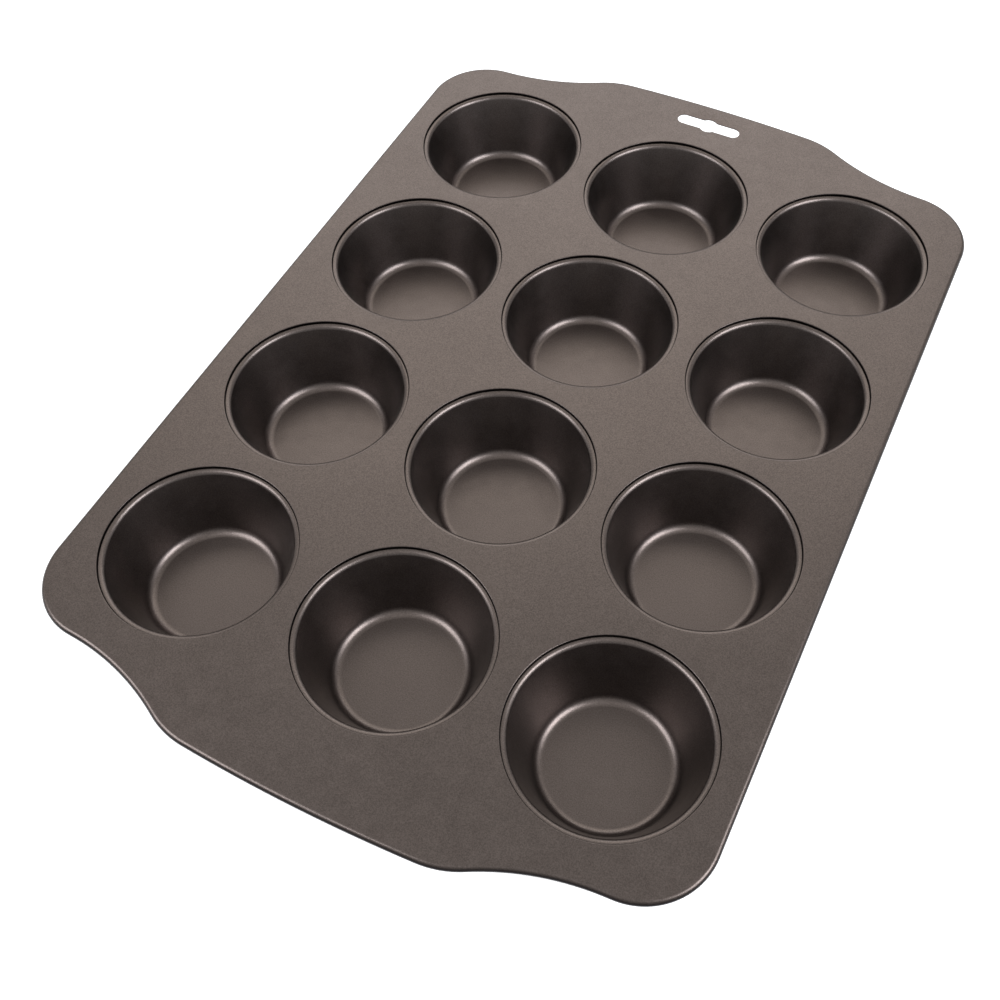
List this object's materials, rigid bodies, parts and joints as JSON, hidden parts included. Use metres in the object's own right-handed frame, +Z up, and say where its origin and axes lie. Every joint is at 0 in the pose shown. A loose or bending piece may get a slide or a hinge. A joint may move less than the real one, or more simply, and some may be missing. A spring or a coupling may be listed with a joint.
{
  "type": "muffin tin",
  "caption": "Shallow baking tin: a flat handled deck with round tapered cups seamed into it, for baking muffins; a slot in one handle lets it hang.",
  "frame": {"origin": "centre of the tin's outline, on the plane that the undersides of the cups rest on", "axes": "+X across the columns of cups, +Y along the rows towards the handle with the hang slot, +Z up out of the cups"},
  "size_m": [0.2636, 0.385, 0.0294],
  "materials": {
    "deck_coating": "satin",
    "cup_coating": "satin",
    "wire_steel": "drawn wire"
  },
  "bodies": {
    "root": {"deck": "deck_coating", "cup_row1_col1": "cup_coating", "cup_row1_col2": "cup_coating", "cup_row1_col3": "cup_coating", "cup_row2_col1": "cup_coating", "cup_row2_col2": "cup_coating", "cup_row2_col3": "cup_coating", "cup_row3_col1": "cup_coating", "cup_row3_col2": "cup_coating", "cup_row3_col3": "cup_coating", "cup_row4_col1": "cup_coating", "cup_row4_col2": "cup_coating", "cup_row4_col3": "cup_coating", "rim_wire": "wire_steel"}
  },
  "joints": []
}
